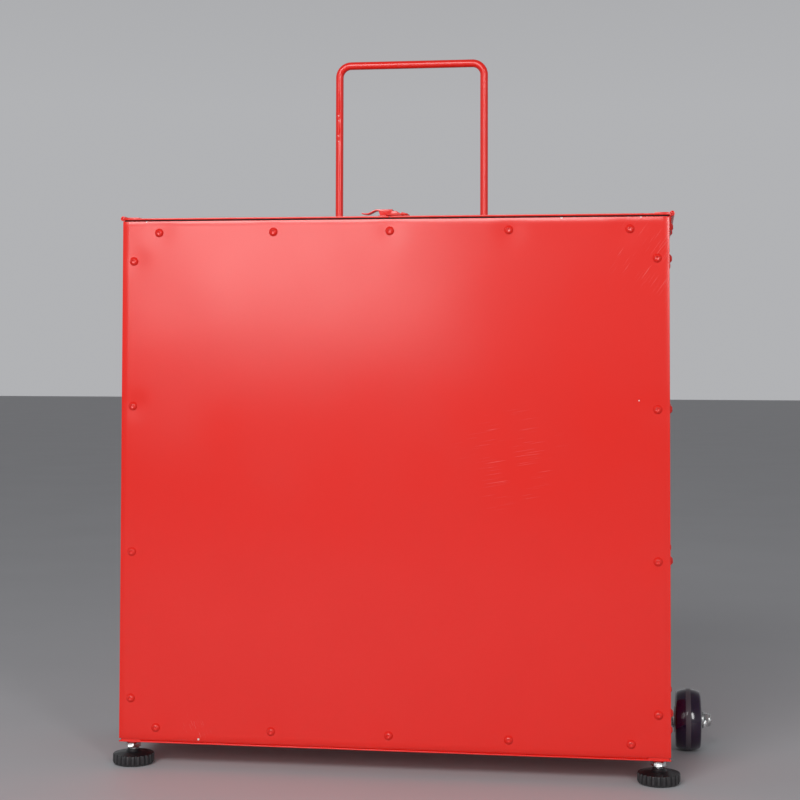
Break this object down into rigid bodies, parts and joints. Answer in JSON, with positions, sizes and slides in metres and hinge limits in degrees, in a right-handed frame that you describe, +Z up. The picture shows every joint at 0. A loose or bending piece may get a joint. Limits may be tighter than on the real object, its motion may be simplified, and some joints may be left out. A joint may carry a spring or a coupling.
{
  "type": "wheeled equipment case",
  "caption": "Flat upright sheet-steel case on rear wheels and front levelling feet, with top lids, a draw latch and a sliding pull handle.",
  "frame": {"origin": "floor level, under the middle of the overall width and depth", "axes": "+Z up, +Y from the front panel towards the wheels, +X to the right seen from the front"},
  "size_m": [0.7534, 0.2354, 0.8685],
  "materials": {
    "red_enamel": "gloss",
    "zinc_steel": "satin",
    "black_plastic": "satin",
    "seal_rubber": "matte",
    "white_nylon": "satin",
    "purple_polyurethane": "gloss",
    "grey_core": "satin"
  },
  "bodies": {
    "case": {"front_panel": "red_enamel", "rear_panel": "red_enamel", "left_side_panel": "red_enamel", "right_side_panel": "red_enamel", "bottom_panel": "red_enamel", "front_left_post": "red_enamel", "front_right_post": "red_enamel", "rear_left_post": "red_enamel", "rear_right_post": "red_enamel", "front_top_rail": "red_enamel", "front_bottom_rail": "red_enamel", "rear_top_rail": "red_enamel", "rear_bottom_rail": "red_enamel", "side_rails": "red_enamel", "front_screws": "red_enamel", "rear_screws": "red_enamel", "side_screws": "red_enamel", "bottom_screws": "red_enamel", "rivet_nuts": "zinc_steel", "post_plugs": "black_plastic", "lid_seal": "seal_rubber", "fixed_leaves": "red_enamel", "hinge_pins": "red_enamel", "hinge_screws": "red_enamel", "left_guide_tube": "red_enamel", "right_guide_tube": "red_enamel", "guide_bushes": "black_plastic", "guide_brackets": "red_enamel", "bracket_screws": "red_enamel", "axle_tube": "red_enamel", "axle_lugs": "red_enamel", "axle_tube_plugs": "black_plastic", "axle_rod": "zinc_steel", "axle_sleeves": "zinc_steel", "axle_nuts": "zinc_steel", "axle_washers": "zinc_steel", "foot_bosses": "red_enamel", "foot_lock_nuts": "zinc_steel"},
    "left_lid": {"left_lid_panel": "red_enamel", "left_lid_leaf": "red_enamel", "left_lid_rivets": "red_enamel", "latch_base": "red_enamel"},
    "right_lid": {"right_lid_panel": "red_enamel", "right_lid_leaf": "red_enamel", "right_lid_rivets": "red_enamel", "latch_catch": "red_enamel"},
    "lever": {"latch_lever": "red_enamel"},
    "bail": {"latch_bail": "red_enamel"},
    "handle": {"handle_bar": "red_enamel", "handle_sliders": "white_nylon"},
    "left_wheel": {"left_tyre": "purple_polyurethane", "left_hub": "grey_core", "left_bearings": "zinc_steel"},
    "right_wheel": {"right_tyre": "purple_polyurethane", "right_hub": "grey_core", "right_bearings": "zinc_steel"},
    "left_foot": {"left_foot_stud": "zinc_steel", "left_foot_pad": "black_plastic"},
    "right_foot": {"right_foot_stud": "zinc_steel", "right_foot_pad": "black_plastic"}
  },
  "joints": [
    {"name": "left_lid_hinge", "type": "hinge", "parent": "case", "child": "left_lid", "pos_m": [-0.3282, -0.02225, 0.6535], "axis": [0, -1, 0], "range_deg": [0, 225]},
    {"name": "right_lid_hinge", "type": "hinge", "parent": "case", "child": "right_lid", "pos_m": [0.3282, -0.02225, 0.6535], "axis": [0, 1, 0], "range_deg": [0, 225]},
    {"name": "latch_lever_pivot", "type": "hinge", "parent": "left_lid", "child": "lever", "pos_m": [-0.007, -0.02225, 0.6622], "axis": [0, 1, 0], "range_deg": [0, 135]},
    {"name": "latch_bail_pivot", "type": "hinge", "parent": "lever", "child": "bail", "pos_m": [-0.016, -0.02225, 0.6612], "axis": [0, 1, 0], "range_deg": [-150, 0]},
    {"name": "handle_slide", "type": "slide", "parent": "case", "child": "handle", "axis": [0, 0, -1], "range_m": [0, 0.19]},
    {"name": "left_wheel_spin", "type": "hinge", "parent": "case", "child": "left_wheel", "pos_m": [-0.3481, 0.08025, 0.0375], "axis": [1, 0, 0], "continuous": true},
    {"name": "right_wheel_spin", "type": "hinge", "parent": "case", "child": "right_wheel", "pos_m": [0.3481, 0.08025, 0.0375], "axis": [1, 0, 0], "continuous": true},
    {"name": "left_foot_screw", "type": "slide", "parent": "case", "child": "left_foot", "axis": [0, 0, -1], "range_m": [0, 0.02]},
    {"name": "right_foot_screw", "type": "slide", "parent": "case", "child": "right_foot", "axis": [0, 0, -1], "range_m": [0, 0.02]}
  ],
  "couplings": [
    {"joint": "latch_bail_pivot", "follows": "latch_lever_pivot", "ratio": -1.1}
  ]
}
